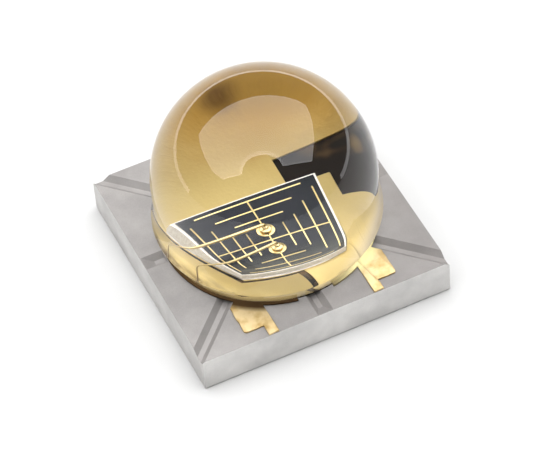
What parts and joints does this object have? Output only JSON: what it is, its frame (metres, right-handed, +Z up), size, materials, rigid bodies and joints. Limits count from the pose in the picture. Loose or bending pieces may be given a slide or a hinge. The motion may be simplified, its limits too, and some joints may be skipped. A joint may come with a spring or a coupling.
{
  "type": "smd infrared led",
  "caption": "Surface-mount infrared emitter on a square ceramic base with a gold film, a gold-fingered die, two bond wires and a clear glass dome lens.",
  "frame": {"origin": "on the dome's axis, in the plane of the undersides of the three solder contacts", "axes": "+Z up through the dome, X along the edge with the two gold tabs, and the tabs on the -Y side"},
  "size_m": [0.0044, 0.0044, 0.0036],
  "materials": {
    "ceramic": "matte",
    "glaze": "satin",
    "gold_film": "satin",
    "gold_wire": "polished",
    "gel": "clear",
    "lens_glass": "polished",
    "solder": "satin",
    "die": "polished",
    "contact_metal": "satin",
    "via_metal": "satin"
  },
  "bodies": {
    "root": {"ceramic_base": "ceramic", "glaze_layer": "glaze", "bond_pad": "gold_film", "die_pad": "gold_film", "encapsulant": "gel", "dome_lens": "lens_glass", "die_solder": "solder", "emitter_die": "die", "top_contact": "gold_film", "bond_wire_back": "gold_wire", "bond_wire_front": "gold_wire", "anode_contact": "contact_metal", "cathode_contact": "contact_metal", "thermal_contact": "contact_metal", "anode_via_front": "via_metal", "anode_via_back": "via_metal", "cathode_via_front": "via_metal", "cathode_via_back": "via_metal"}
  },
  "joints": []
}
